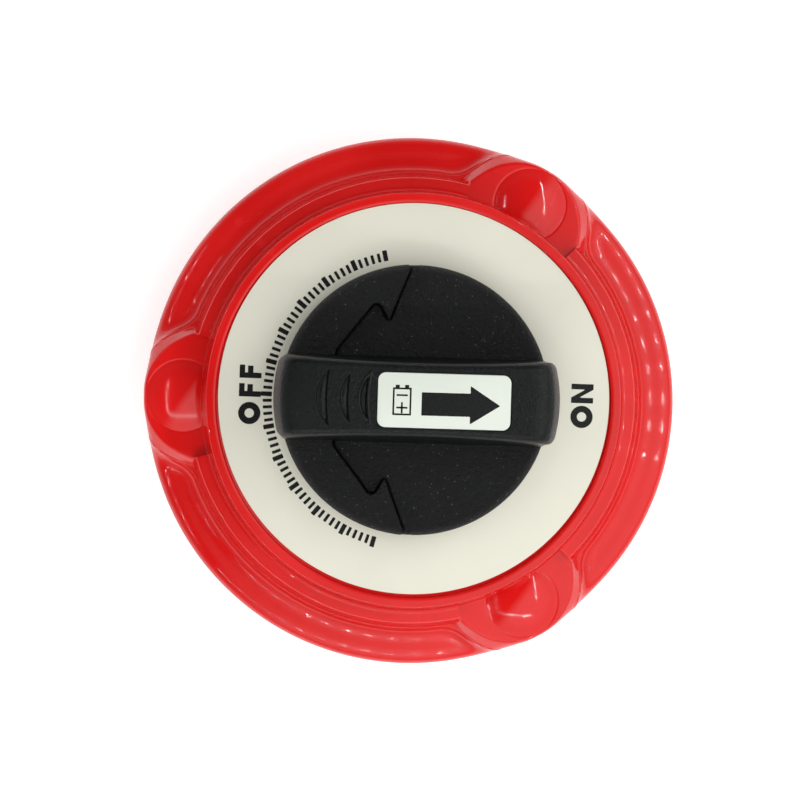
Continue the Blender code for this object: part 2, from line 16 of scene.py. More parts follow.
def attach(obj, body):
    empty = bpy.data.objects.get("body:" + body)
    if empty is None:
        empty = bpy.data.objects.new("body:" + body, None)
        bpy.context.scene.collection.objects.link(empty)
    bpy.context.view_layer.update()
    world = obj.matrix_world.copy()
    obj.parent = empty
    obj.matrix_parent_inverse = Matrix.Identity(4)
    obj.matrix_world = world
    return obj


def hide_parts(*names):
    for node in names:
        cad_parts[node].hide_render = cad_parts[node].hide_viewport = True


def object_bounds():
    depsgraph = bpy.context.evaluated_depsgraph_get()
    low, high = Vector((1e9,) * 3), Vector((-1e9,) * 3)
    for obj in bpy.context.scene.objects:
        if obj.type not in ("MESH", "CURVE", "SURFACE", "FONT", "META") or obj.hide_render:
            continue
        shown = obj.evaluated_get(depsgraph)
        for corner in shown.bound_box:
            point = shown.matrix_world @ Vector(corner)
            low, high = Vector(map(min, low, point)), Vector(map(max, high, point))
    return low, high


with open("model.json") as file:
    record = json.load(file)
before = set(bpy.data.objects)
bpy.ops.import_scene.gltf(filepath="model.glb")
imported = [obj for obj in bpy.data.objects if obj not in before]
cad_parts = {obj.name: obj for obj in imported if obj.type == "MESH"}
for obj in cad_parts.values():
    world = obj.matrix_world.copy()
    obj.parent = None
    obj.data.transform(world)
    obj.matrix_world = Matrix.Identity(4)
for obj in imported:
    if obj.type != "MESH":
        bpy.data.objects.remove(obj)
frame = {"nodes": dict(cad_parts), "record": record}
cad_low, cad_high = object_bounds()

MM = 0.001
NODES = frame["nodes"]
KNOB_TURN = math.radians(-0.5)  # play of the knob on its square
DIAL_TURN = math.radians(-0.8)  # the printed plate is glued in a little askew
CAMERA_TURN = math.radians(1.2)

# housing: the radii and heights of its surfaces
EARS = (60.0, 180.0, 300.0)  # degrees
FLANGE_R = 66.5
FLANGE_TOP = 8.0
EAR_TOP = 14.0
SHOULDER = 11.05
LEDGE_R, LEDGE_TOP = 52.6, 17.5
RIM_R, RIM_TOP = 51.32, 28.0
BORE_R = 46.8  # the cavity that the base plate closes
SHAFT_R = 9.0
RECESS_R, RECESS_FLOOR = 47.35, 27.0
CEILING = 22.0
NOWHERE = -50.0  # a height far below the part, for a surface that is absent there
DOME_AT = 56.7
DOME_R = 8.55
DOME_HEIGHT = 2.35
DOME_BALL_R = (DOME_R ** 2 + DOME_HEIGHT ** 2) / (2 * DOME_HEIGHT)

# pockets in the flange's back: where each starts after an ear, and the sector it is filled in (degrees)
POCKET_SPAN = 17.5
POCKETS = {22: (10, 40.25), 41.5: (40.25, 60), 61: (60, 79.5), 80.5: (79.5, 110)}
POCKET_LOW, POCKET_HIGH, POCKET_MIDDLE = 50.0, 62.6, 56.3
SECTOR_MIDDLE = 56.5

# dial and knob
PLATE_TOP = 27.7
INK_THICKNESS = 0.03
BARS, BARS_START, BARS_END = 61, 103, 256
KNOB_R = 31.85
DISC_TOP, COVER_TOP, WING_TOP = 34.9, 36.1, 37.4
DISC_BOTTOM, DISC_ROUND = 28.2, 1.5
HANDLE_L, HANDLE_W, HANDLE_TOP, HANDLE_ROUND = 32.6, 10.1, 54.0, 1.9
HANDLE_LOW = 34.5
GROOVES = ((-21.3, 3.1, 6.6), (-16.3, 2.6, 5.8), (-11.9, 2.1, 5.2))  # middle, width and half length
LABEL_X, LABEL_Y, LABEL_PLAY = (-9.22, 21.14), (-6.62, 6.22), 0.24
LABEL_FLOOR, LABEL_TOP = 53.0, 54.03

# terminals
STUD_AT = [(25.0 * math.cos(a), 25.0 * math.sin(a)) for a in (math.radians(50), math.radians(-50))]
STUD_R = 4.76
STUD_END = -26.0
PITCH = 1.5875
HEAD_LOW, HEAD_HIGH, HEAD_SIZE = 7.45, 11.15, 8.0
HOLE_R = 5.1  # washers and nuts
NUT_FLAT = 14.29 / 2


# ---- mesh helpers

def mesh_piece(name, verts, faces, body, mat, slot, sharp=45.0, move=None):
    """A smooth-shaded mesh object from points in millimetres, riding on a body."""
    mesh = bpy.data.meshes.new(name)
    mesh.from_pydata([tuple(p) for p in np.asarray(verts, float) * MM], [], faces)
    mesh.validate()
    return finish_piece(name, mesh, body, mat, sharp, move)


def finish_piece(name, mesh, body, mat, sharp=45.0, move=None):
    shape = bmesh.new()
    shape.from_mesh(mesh)
    bmesh.ops.remove_doubles(shape, verts=shape.verts, dist=2e-7)
    bmesh.ops.recalc_face_normals(shape, faces=shape.faces)
    shape.to_mesh(mesh)
    shape.free()
    if move:
        mesh.transform(move)
    mesh.shade_smooth()
    mesh.set_sharp_from_angle(angle=math.radians(sharp))
    mesh.materials.append(mat)
    made = bpy.data.objects.new(name, mesh)
    bpy.context.scene.collection.objects.link(made)
    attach(made, body)
    return made


def joined(parts):
    """(verts, faces) of several (verts, faces) pairs together."""
    verts, faces = [], []
    for some_verts, some_faces in parts:
        base = len(verts)
        verts.extend([tuple(p) for p in some_verts])
        faces.extend([tuple(base + k for k in face) for face in some_faces])
    return verts, faces


def sheet_faces(rows, columns, close_rows=False, close_columns=False):
    """Quads over a grid of points stored row by row."""
    i = np.arange(rows if close_rows else rows - 1)
    j = np.arange(columns if close_columns else columns - 1)
    a, b = np.meshgrid(i, j, indexing="ij")
    a2, b2 = (a + 1) % rows, (b + 1) % columns
    quads = np.stack([a * columns + b, a * columns + b2, a2 * columns + b2, a2 * columns + b], -1)
    return [tuple(q) for q in quads.reshape(-1, 4).tolist()]


def lathe(outline, sides=128, close=True):
    """Turns (radius, height) points about Z. A closed outline makes a ring; an open one ends on the axis."""
    angles = np.linspace(0, 2 * math.pi, sides, endpoint=False)
    pts = np.array(outline, float)
    grid = np.stack([pts[:, 0, None] * np.cos(angles), pts[:, 0, None] * np.sin(angles),
                     np.repeat(pts[:, 1, None], sides, 1)], -1)
    faces = sheet_faces(len(pts), sides, close_rows=close, close_columns=True)
    return grid.reshape(-1, 3), faces


def fillet(corners, radii, steps=5, close=True):
    """The polygon's corners rounded off, each with its own radius."""
    out = []
    count = len(corners)
    for k in range(count):
        here = Vector(corners[k])
        radius = radii[k] if hasattr(radii, "__len__") else radii
        if radius <= 0 or (not close and k in (0, count - 1)):
            out.append(tuple(here))
            continue
        to_last = (Vector(corners[k - 1]) - here).normalized()
        to_next = (Vector(corners[(k + 1) % count]) - here).normalized()
        half = to_last.angle(to_next) / 2
        reach = radius / math.tan(half)
        start, end = here + to_last * reach, here + to_next * reach
        middle = (to_last + to_next).normalized()
        centre = here + middle * (radius / math.sin(half))
        a, b = start - centre, end - centre
        sweep = a.angle_signed(b)
        for step in range(steps + 1):
            turn = -sweep * step / steps
            c, s = math.cos(turn), math.sin(turn)
            out.append((centre.x + a.x * c - a.y * s, centre.y + a.x * s + a.y * c))
    return out


def inward_of(outline):
    """Unit vectors into a counter-clockwise outline, one at each of its points."""
    along = np.roll(outline, -1, 0) - np.roll(outline, 1, 0)
    along /= np.maximum(np.linalg.norm(along, axis=1, keepdims=True), 1e-9)
    return np.stack([-along[:, 1], along[:, 0]], -1)


def plate(outline, low, high, edge=0.0, edge_steps=3):
    """A flat plate with its top edge rounded by edge, from a counter-clockwise outline."""
    pts = np.array(outline, float)
    inward = inward_of(pts)
    levels = [(0.0, low)]
    if edge > 0:
        for k in range(edge_steps + 1):
            turn = math.pi / 2 * k / edge_steps
            levels.append((edge * (1 - math.cos(turn)), high - edge * (1 - math.sin(turn))))
    else:
        levels.append((0.0, high))
    rings = [np.column_stack([pts + inward * inset, np.full(len(pts), z)]) for inset, z in levels]
    count = len(pts)
    verts = np.concatenate(rings)
    faces = sheet_faces(len(rings), count, close_columns=True)
    faces.append(tuple(range(count))[::-1])
    faces.append(tuple(range((len(rings) - 1) * count, len(rings) * count)))
    return verts, faces


def spun(part, angle, centre=(0, 0)):
    verts = np.asarray(part[0], float).copy()
    c, s = math.cos(angle), math.sin(angle)
    x, y = verts[:, 0].copy(), verts[:, 1].copy()
    verts[:, 0] = centre[0] + x * c - y * s
    verts[:, 1] = centre[1] + x * s + y * c
    return verts, part[1]


def shifted(part, x=0.0, y=0.0, z=0.0):
    return np.asarray(part[0], float) + np.array((x, y, z)), part[1]


def smooth_max(a, b, size):
    near = np.maximum(size - np.abs(a - b), 0) / size
    return np.maximum(a, b) + near * near * size / 4


def smooth_min(a, b, size):
    return -smooth_max(-a, -b, size)


def smooth_step(low, high, value):
    t = np.clip((value - low) / (high - low), 0, 1)
    return t * t * (3 - 2 * t)


# ---- materials

def shader_of(name, **values):
    made = bpy.data.materials.new(name)
    made.use_nodes = True
    shader = made.node_tree.nodes["Principled BSDF"]
    for key, value in values.items():
        shader.inputs[key.replace("_", " ")].default_value = value
    return made, made.node_tree, shader


def node(tree, kind, inputs=None, **settings):
    made = tree.nodes.new("ShaderNode" + kind)
    for key, value in settings.items():
        setattr(made, key, value)
    for key, value in (inputs or {}).items():
        if isinstance(value, bpy.types.NodeSocket):
            tree.links.new(value, made.inputs[key])
        else:
            made.inputs[key].default_value = value
    return made


def feed(shader, **values):
    """Links sockets to the shader's inputs, whose names have _ for a space here."""
    for key, value in values.items():
        shader.id_data.links.new(value, shader.inputs[key.replace("_", " ")])


def noise(tree, where, scale, detail=3.0, roughness=0.5):
    return node(tree, "TexNoise", {"Vector": where, "Scale": scale, "Detail": detail, "Roughness": roughness})


def span(tree, value, low, high, to_low, to_high):
    inputs = {"Value": value, "From Min": low, "From Max": high, "To Min": to_low, "To Max": to_high}
    return node(tree, "MapRange", inputs).outputs["Result"]


def math_node(tree, operation, a, b=0.0):
    return node(tree, "Math", {0: a, 1: b}, operation=operation).outputs[0]


def blend_colour(tree, factor, a, b, mode="MIX"):
    made = tree.nodes.new("ShaderNodeMix")
    made.data_type = "RGBA"
    made.blend_type = mode
    for socket, value in ((made.inputs[0], factor), (made.inputs[6], a), (made.inputs[7], b)):
        if isinstance(value, bpy.types.NodeSocket):
            tree.links.new(value, socket)
        else:
            socket.default_value = value
    return made.outputs[2]


def mottled(tree, cloud, tint, low, high):
    """The tint made darker and lighter by turns, where a noise is low and high."""
    dark, light = (tuple(min(1, c * share) for c in tint) + (1,) for share in (low, high))
    return blend_colour(tree, span(tree, cloud, 0.3, 0.7, 0, 1), dark, light)


def bump(tree, height, strength, distance, after=None):
    inputs = {"Height": height, "Strength": strength, "Distance": distance}
    if after:
        inputs["Normal"] = after
    return node(tree, "Bump", inputs).outputs["Normal"]


def object_coords(tree):
    return node(tree, "TexCoord").outputs["Object"]


def red_gloss(name, turned):
    """Glossy red plastic; where its mould was turned on a lathe, highlights spread across the tool marks."""
    mat, tree, shader = shader_of(name, Roughness=0.08, IOR=1.5)
    if turned:
        shader.inputs["Anisotropic"].default_value = 1.0
        shader.inputs["Anisotropic Rotation"].default_value = 0.25
        feed(shader, Tangent=node(tree, "Tangent", direction_type="RADIAL", axis="Z").outputs[0])
    where = object_coords(tree)
    cloud = noise(tree, where, 45.0, 3.0).outputs[0]
    peel = noise(tree, where, 900.0, 2.0).outputs[0]
    sink = noise(tree, where, 130.0, 1.0).outputs[0]
    specks = noise(tree, where, 5200.0, 1.0).outputs[0]
    wear = node(tree, "NewGeometry").outputs["Pointiness"]
    deep, bright = (0.66, 0.0060, 0.0056, 1), (0.74, 0.0095, 0.0088, 1)
    colour = blend_colour(tree, span(tree, cloud, 0.3, 0.7, 0, 1), deep, bright)
    edge = span(tree, wear, 0.53, 0.62, 0.0, 0.22)
    colour = blend_colour(tree, edge, colour, (0.82, 0.040, 0.036, 1))
    low, high = (0.085, 0.115) if turned else (0.055, 0.085)
    rough = math_node(tree, "ADD", span(tree, cloud, 0.3, 0.7, low, high), span(tree, specks, 0.6, 0.75, 0.0, 0.04))
    normal = bump(tree, peel, 0.06, 0.00006, bump(tree, sink, 0.06, 0.0004))
    feed(shader, Base_Color=colour, Roughness=rough, Normal=normal)
    return mat


def black_grain(name, grain, rough_low, rough_high, tint, ior):
    """Moulded black plastic with a spark-eroded grain; small bright specks painted into its colour stand in for the
    glints of the grain.
    """
    mat, tree, shader = shader_of(name, IOR=ior)
    where = object_coords(tree)
    fine = noise(tree, where, 2400.0, 3.0, 0.65).outputs[0]
    coarse = noise(tree, where, 1000.0, 2.0, 0.5).outputs[0]
    cloud = noise(tree, where, 60.0, 4.0).outputs[0]
    # painted glints: bright specks in the base colour where the grain would catch the light
    cells = node(tree, "TexVoronoi", {"Vector": where, "Scale": 1500.0}).outputs["Distance"]
    painted_glint = span(tree, cells, 0.05, 0.25, 1.0, 0.0)
    chosen = span(tree, noise(tree, where, 700.0, 1.0).outputs[0], 0.55, 0.66, 0.0, 1.0)
    painted_glint = math_node(tree, "MULTIPLY", painted_glint, chosen)
    colour = mottled(tree, cloud, tint, 0.75, 1.35)
    # the painted glints lighten the base colour here
    colour = blend_colour(tree, math_node(tree, "MULTIPLY", painted_glint, 0.42 * grain), colour, (0.42, 0.46, 0.44, 1))
    height = math_node(tree, "ADD", fine, math_node(tree, "MULTIPLY", coarse, 0.8))
    feed(shader, Base_Color=colour, Roughness=span(tree, fine, 0.3, 0.7, rough_low, rough_high),
         Normal=bump(tree, height, grain, 0.0007))
    return mat


def printed_plate(name, tint, rough):
    """Matte printed plastic sheet: barely mottled, with a fine tooth and a few specks of dust."""
    mat, tree, shader = shader_of(name, IOR=1.45)
    where = object_coords(tree)
    cloud = noise(tree, where, 38.0, 4.0).outputs[0]
    tooth = noise(tree, where, 3200.0, 2.0).outputs[0]
    cells = node(tree, "TexVoronoi", {"Vector": where, "Scale": 330.0}).outputs["Distance"]
    chosen = span(tree, noise(tree, where, 150.0, 1.0).outputs[0], 0.64, 0.70, 0.0, 1.0)
    dust = math_node(tree, "MULTIPLY", span(tree, cells, 0.03, 0.07, 0.35, 0.0), chosen)
    colour = blend_colour(tree, dust, mottled(tree, cloud, tint, 0.955, 1.02), (0.42, 0.41, 0.36, 1))
    feed(shader, Base_Color=colour, Roughness=span(tree, tooth, 0.3, 0.7, rough - 0.06, rough + 0.06),
         Normal=bump(tree, tooth, 0.12, 0.00005))
    return mat


def ink():
    """Thick black print with a slight sheen."""
    mat, tree, shader = shader_of("black_ink", IOR=1.34)
    where = object_coords(tree)
    tooth = noise(tree, where, 2600.0, 2.0).outputs[0]
    dark, light = (0.003, 0.0035, 0.0033, 1), (0.007, 0.008, 0.0075, 1)
    feed(shader, Base_Color=blend_colour(tree, span(tree, tooth, 0.3, 0.7, 0, 1), dark, light),
         Roughness=span(tree, tooth, 0.3, 0.7, 0.24, 0.34), Normal=bump(tree, tooth, 0.1, 0.00004))
    return mat


def metal(name, tint, rough, stain, along="Z"):
    """Turned or drawn metal: fine tool lines, dull spots and brighter edges."""
    mat, tree, shader = shader_of(name, Metallic=1.0)
    where = object_coords(tree)
    scale = {"Z": (160.0, 160.0, 5200.0), "R": (2200.0, 2200.0, 400.0)}[along]
    lines = noise(tree, node(tree, "Mapping", {"Vector": where, "Scale": scale}).outputs[0], 1.0, 3.0).outputs[0]
    cloud = noise(tree, where, 260.0, 4.0).outputs[0]
    wear = node(tree, "NewGeometry").outputs["Pointiness"]
    colour = blend_colour(tree, span(tree, cloud, 0.35, 0.7, 0.0, 1.0), tint + (1,), stain + (1,))
    bright = tuple(min(1.0, c * 1.25) for c in tint) + (1,)
    colour = blend_colour(tree, span(tree, wear, 0.52, 0.6, 0.0, 0.6), colour, bright)
    dull = span(tree, cloud, 0.5, 0.75, 0.0, 0.12)
    rough = math_node(tree, "ADD", span(tree, lines, 0.3, 0.7, rough - 0.07, rough + 0.07), dull)
    feed(shader, Base_Color=colour, Roughness=rough, Normal=bump(tree, lines, 0.18, 0.00004))
    return mat


def moulded(name, tint, rough, mottle):
    """Plain moulded plastic or rubber with a fine skin."""
    mat, tree, shader = shader_of(name, IOR=1.5)
    where = object_coords(tree)
    cloud = noise(tree, where, 120.0, 4.0).outputs[0]
    skin = noise(tree, where, 1800.0, 3.0).outputs[0]
    wear = node(tree, "NewGeometry").outputs["Pointiness"]
    colour = mottled(tree, cloud, tint, 1 - mottle, 1 + mottle)
    worn = tuple(min(1, c * 1.9 + 0.01) for c in tint) + (1,)
    colour = blend_colour(tree, span(tree, wear, 0.53, 0.62, 0.0, 0.3), colour, worn)
    feed(shader, Base_Color=colour, Roughness=span(tree, skin, 0.3, 0.7, rough - 0.08, rough + 0.08),
         Normal=bump(tree, skin, 0.25, 0.00006))
    return mat


RED = red_gloss("red_gloss_plastic", False)
RED_TURNED = red_gloss("red_turned_plastic", True)
GRAIN = black_grain("black_textured_plastic", 1.0, 0.44, 0.62, (0.0036, 0.0041, 0.0040), 1.42)
SATIN = black_grain("black_satin_plastic", 0.25, 0.26, 0.34, (0.0034, 0.0043, 0.0043), 1.31)
CREAM = printed_plate("cream_label", (0.76, 0.75, 0.630), 0.5)
WHITE = printed_plate("white_label", (0.735, 0.785, 0.700), 0.22)
INK = ink()
STEEL = metal("stainless_steel", (0.62, 0.62, 0.61), 0.28, (0.52, 0.52, 0.52), "R")
COPPER = metal("copper", (0.76, 0.36, 0.22), 0.3, (0.58, 0.24, 0.13))
BRASS = metal("brass", (0.78, 0.58, 0.26), 0.28, (0.62, 0.43, 0.17))
PHENOLIC = moulded("black_phenolic", (0.020, 0.019, 0.018), 0.5, 0.25)
NYLON = moulded("white_nylon", (0.70, 0.69, 0.64), 0.48, 0.05)
RUBBER = moulded("black_rubber", (0.016, 0.016, 0.016), 0.75, 0.2)


# ---- housing

def two_arcs(flat_radius, flat_turn, tight_radius, end_turn, steps):
    """(reach, drop) from a level surface through a wide arc into a tight one."""
    turn = np.radians(np.linspace(0, end_turn, steps))
    first = np.minimum(turn, math.radians(flat_turn))
    level = math.radians(flat_turn)
    reach = flat_radius * np.sin(first) + tight_radius * (np.sin(np.maximum(turn, level)) - math.sin(level))
    drop = flat_radius * (1 - np.cos(first)) + tight_radius * (math.cos(level) - np.cos(np.maximum(turn, level)))
    return reach, drop


COVE_REACH, COVE_RISE = two_arcs(7.0, 12.0, 3.7, 78.0, 60)
EDGE_REACH, EDGE_DROP = two_arcs(7.0, 12.0, 3.0, 90.0, 15)


def cove(d):
    """From the shoulder at d = 0 down to the flange's top, then falling on below it."""
    inside = np.clip(COVE_REACH[-1] - d, 0, None)
    height = FLANGE_TOP + np.interp(inside, COVE_REACH, COVE_RISE) * (SHOULDER - FLANGE_TOP) / COVE_RISE[-1]
    above = SHOULDER + 4.7 * np.clip(-d, 0, None)
    return np.where(d < 0, above, np.where(d < COVE_REACH[-1], height, FLANGE_TOP - (d - COVE_REACH[-1])))


def rim_wall(r):
    """The steep wall between the ledge and the rim's top."""
    return np.where(r < LEDGE_R, 18.57 + (RIM_R - r) * 5.7, NOWHERE)


def stepped_wall(r):
    """Wall, ledge and rim above the shoulder."""
    wall = SHOULDER + 3.45 * (56.65 - r)
    foot = 1.3  # radius of the hollow between the ledge and the rim's wall
    hollow = LEDGE_TOP + foot - np.sqrt(np.clip(foot ** 2 - np.clip(LEDGE_R - r, 0, foot) ** 2, 0, None))
    ledge = smooth_min(wall, np.full_like(r, LEDGE_TOP), 0.8)
    height = np.where(r < LEDGE_R, np.where(r < RIM_R, rim_wall(r), hollow), ledge)
    return smooth_min(height, np.full_like(r, RIM_TOP), 0.6)


def ear_place(r, theta):
    """Where a point lies by its nearest ear: degrees off the ear's middle, along and across it in mm."""
    off = (theta - EARS[0] + 60) % 120 - 60
    return off, r * np.cos(np.radians(off)), r * np.sin(np.radians(off))


def front_height(r, theta):
    """The front's height at a radius (mm) and angle (degrees), ears and domes included."""
    off, along, across = ear_place(r, theta)
    rho = np.hypot(along - 48.0, across)
    phi = np.abs(np.degrees(np.arctan2(across, along - 48.0)))
    top = 18.2 - 1.6 * smooth_step(10, 75, phi)
    shoulder = 20.5 - 1.45 * smooth_step(35, 65, phi)
    flank = SHOULDER + (EAR_TOP - SHOULDER) / (shoulder - 0.35 - top) * (shoulder - 0.35 - rho)
    lobe = smooth_min(flank, np.full_like(r, EAR_TOP), 0.5)
    notch = smooth_min(smooth_max(rim_wall(r), np.full_like(r, NOWHERE), 0.5), np.full_like(r, RIM_TOP), 0.6)
    inside = smooth_step(15.7, 15.95, np.abs(off))
    ring = notch * (1 - inside) + stepped_wall(r) * inside
    ring = np.where(np.abs(off) < 15.7, np.maximum(ring, 7.0), ring)
    height = smooth_max(ring, lobe, 1.2)
    beyond = smooth_min(r - 57.0, rho - shoulder, 2.8)
    height = smooth_min(np.maximum(height, SHOULDER), cove(beyond), 0.7)
    reach = np.hypot(along - DOME_AT, across)
    dome = EAR_TOP + np.sqrt(np.clip(DOME_BALL_R ** 2 - reach ** 2, 0, None)) - (DOME_BALL_R - DOME_HEIGHT)
    dome = np.where(reach < DOME_R + 0.5, dome, NOWHERE)
    height = smooth_max(height, dome, 0.4)
    groove = 0.10 * np.exp(-((reach - DOME_R - 0.3) / 0.22) ** 2)
    height = height - np.where(height < EAR_TOP + 1.0, groove, 0.0)
    return np.maximum(height, FLANGE_TOP)


def ring_angles():
    """Angles round the housing in degrees, closer together across the ears."""
    half = np.concatenate([np.arange(0, 24, 0.16), np.arange(15.62, 16.05, 0.06), np.arange(24, 60, 0.75)])
    half = np.unique(np.round(half, 3))
    one = np.unique(np.concatenate([-half, half]))
    return np.sort(np.concatenate([one + ear for ear in EARS]) % 360)


def pocket_loop(start, inset):
    """One rounded outline of a pocket in the flange's back, shrunk by inset: (radius, angle) pairs."""
    low, high = POCKET_LOW + inset, POCKET_HIGH - inset
    half = math.radians(POCKET_SPAN / 2) * POCKET_MIDDLE - inset
    corner = max(0.02, 1.6 - inset * 0.25)
    corner = min(corner, half * 0.9, (high - low) * 0.45)
    turns = 5
    box = fillet([(-half, low), (half, low), (half, high), (-half, high)], corner, turns)
    line = []
    for k, (s, r) in enumerate(box):
        s2, r2 = box[(k + 1) % len(box)]
        side, at = divmod(k, turns + 1)
        steps = 1 if at < turns else (8, 24)[side % 2]
        for step in range(steps):
            line.append((s + (s2 - s) * step / steps, r + (r2 - r) * step / steps))
    return [(r, math.radians(start + POCKET_SPAN / 2) + s / POCKET_MIDDLE) for s, r in line]


def pocket_depth(r):
    """Deep under the shoulder and shallow under the flange, so that the wall stays even."""
    return np.interp(r, [POCKET_LOW, LEDGE_R, 56.6, POCKET_HIGH], [13.3, 13.3, 5.2, 4.4])


def ring_at(turn, radius, height):
    """Points at the angles turn. The radius and the height are each one number, or one for every angle."""
    radius, height = radius * np.ones(len(turn)), height * np.ones(len(turn))
    return np.stack([radius * np.cos(turn), radius * np.sin(turn), height], -1)


def front_rings(angles):
    """From the shaft's hole over the rim, the ears and the flange's round edge to its back."""
    ones = np.ones(len(angles))
    levels = [(SHAFT_R, RECESS_FLOOR), (28.0, RECESS_FLOOR), (46.6, RECESS_FLOOR), (47.2, RECESS_FLOOR),
              (RECESS_R, 27.1), (RECESS_R, 27.5), (47.37, 27.8), (47.45, 27.94), (47.6, RIM_TOP), (48.2, RIM_TOP),
              (49.0, RIM_TOP)]
    off = np.abs(ear_place(ones, angles)[0])
    edge_size = 1.0 - 0.68 * (1 - smooth_step(5, 19, off))
    edge_height = front_height(65.3 * ones, angles)
    bulge = 0.45 * (1 - smooth_step(1.5, 7.5, off))
    top_r = FLANGE_R + 0.05 - 0.065 * (edge_height - FLANGE_TOP) + bulge
    fixed = np.concatenate([np.arange(49.2, 49.95, 0.1), np.arange(50.0, 51.2, 0.2), np.arange(51.2, 52.8, 0.13),
                            np.arange(52.85, 54.1, 0.18), np.arange(54.2, 55.2, 0.1), np.arange(55.25, 56.5, 0.15),
                            np.arange(56.55, 57.3, 0.07), np.arange(57.4, 60.2, 0.15)])
    for radius in fixed:
        levels.append((radius, front_height(radius * ones, angles)))
    first, last = 60.3, top_r - edge_size * EDGE_REACH[-1]
    for step in range(26):
        radius = first + (last - first) * step / 25
        levels.append((radius, front_height(radius, angles)))
    for reach, drop in zip(EDGE_REACH[1:], EDGE_DROP[1:]):
        radius = last + edge_size * reach
        levels.append((radius, front_height(radius, angles) - edge_size * drop))
    side_top, side_foot = levels[-1][1], 0.45
    for t in (0.25, 0.5, 0.75, 1.0):
        levels.append((top_r + (FLANGE_R - top_r) * min(1.0, t * 1.6), side_top + (side_foot - side_top) * t))
    levels += [(FLANGE_R - 0.13, 0.13), (FLANGE_R - side_foot, 0.0)]
    return [ring_at(np.radians(angles), radius, height) for radius, height in levels]


def inside_rings(angles):
    """The cavity from the flange's back up to the shaft's hole, with the detents' dimples in its ceiling."""
    turn = np.radians(angles)
    levels = [(BORE_R, 0.0), (BORE_R, 0.35), (BORE_R, 12.0), (BORE_R, 24.0), (30.0, 24.0), (30.0, CEILING)]
    dimple_at, ball_r, ball_drop = 24.0, 2.55, 1.7
    for radius in np.arange(27.0, 20.9, -0.5):
        x, y = radius * np.cos(turn), radius * np.sin(turn)
        distance = np.minimum(np.hypot(x, y - dimple_at), np.hypot(x, y + dimple_at))
        ball = np.sqrt(np.clip(ball_r ** 2 - distance ** 2, 0, None)) - ball_drop
        levels.append((radius, CEILING + np.clip(ball, 0, None)))
    levels += [(SHAFT_R, CEILING), (SHAFT_R, RECESS_FLOOR)]
    return [ring_at(turn, radius, height) for radius, height in levels]


def pocket_rings(start):
    """Rings from a pocket's mouth down its steep wall and in over its floor."""
    steps = [(0, 0), (0.12, 0.03), (0.35, 0.5), (0.55, 0.94)] + [(inset, 1) for inset in np.arange(0.9, 6.2, 0.35)]
    return [[(r * math.cos(t), r * math.sin(t), share * float(pocket_depth(r))) for r, t in pocket_loop(start, inset)]
            for inset, share in steps]


def insert_rings(ear):
    """Rings down the blind hole for the threaded insert under an ear's dome."""
    x, y = DOME_AT * math.cos(math.radians(ear)), DOME_AT * math.sin(math.radians(ear))
    around = np.linspace(0, 2 * math.pi, 48, endpoint=False)
    return [[(x + radius * math.cos(a), y + radius * math.sin(a), height) for a in around]
            for radius, height in ((4.0, 0.0), (3.8, 0.2), (3.8, 11.0), (2.0, 11.2))]


def tube(rings, capped=True):
    """The surface through rings of equally many points, its last ring filled."""
    size = len(rings[0])
    faces = sheet_faces(len(rings), size, close_columns=True)
    if capped:
        faces.append(tuple(range((len(rings) - 1) * size, len(rings) * size)))
    return np.concatenate([np.array(ring) for ring in rings]), faces


def bridged(outside, inside, centre):
    """Triangles between two loops at z = 0 that each go once round the centre."""
    def direction(p):
        return math.atan2(p[1] - centre[1], p[0] - centre[0])

    outside, inside = sorted(outside, key=direction), sorted(inside, key=direction)
    turns = [[direction(p) for p in loop] for loop in (outside, inside)]
    turns = [around + [around[0] + 2 * math.pi] for around in turns]
    outer_size, inner_size = len(outside), len(inside)
    faces = []
    i = j = 0
    while i < outer_size or j < inner_size:
        here, there = i % outer_size, outer_size + j % inner_size
        if j >= inner_size or (i < outer_size and turns[0][i + 1] <= turns[1][j + 1]):
            i += 1
            faces.append((here, i % outer_size, there))
        else:
            j += 1
            faces.append((here, outer_size + j % inner_size, there))
    return outside + inside, faces


def back_sector(angles, rim_loop, bore_loop, hole, middle, start, end):
    """The flat back between two angles, round the hole whose middle lies at another angle (all in degrees)."""
    start, end = (int(np.argmin(np.abs((angles - edge + 180) % 360 - 180))) for edge in (start, end))
    sector = np.arange(start, end + (len(angles) if end < start else 0) + 1) % len(angles)
    outside, inside = rim_loop[sector], bore_loop[sector]
    pieces = 30
    sides = [outside[k] + (inside[k] - outside[k]) * n / pieces for k in (0, -1) for n in range(1, pieces)]
    middle = math.radians(middle)
    centre = (SECTOR_MIDDLE * math.cos(middle), SECTOR_MIDDLE * math.sin(middle))
    return bridged([tuple(p) for p in [*outside, *inside, *sides]], hole, centre)


def build_housing():
    angles = ring_angles()
    front, inside = front_rings(angles), inside_rings(angles)
    parts = [tube(front, capped=False), tube(inside, capped=False)]
    for ear in EARS:
        holes = [(insert_rings(ear), ear, (-10, 10))]
        for start, sector in POCKETS.items():
            holes.append((pocket_rings(ear + start), ear + start + POCKET_SPAN / 2, sector))
        for rings, middle, (low, high) in holes:
            parts.append(tube(rings))
            parts.append(back_sector(angles, front[-1], inside[0], rings[0], middle, ear + low, ear + high))
    housing = mesh_piece("housing_shell", *joined(parts), "switch_body", RED, "red_gloss_plastic", 62)
    housing.data.materials.append(RED_TURNED)
    middles = np.array([face.center for face in housing.data.polygons]) / MM
    reach = np.hypot(middles[:, 0], middles[:, 1])
    off = np.abs(ear_place(reach, np.degrees(np.arctan2(middles[:, 1], middles[:, 0])))[0])
    turned = (reach > 49.0) & (off > 17.0) & (middles[:, 2] > 2.0)
    housing.data.polygons.foreach_set("material_index", turned.astype(np.int32))
    housing.data.polygons.foreach_set("use_smooth", middles[:, 2] > 1e-4)
    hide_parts("housing")


# ---- dial plate and its print

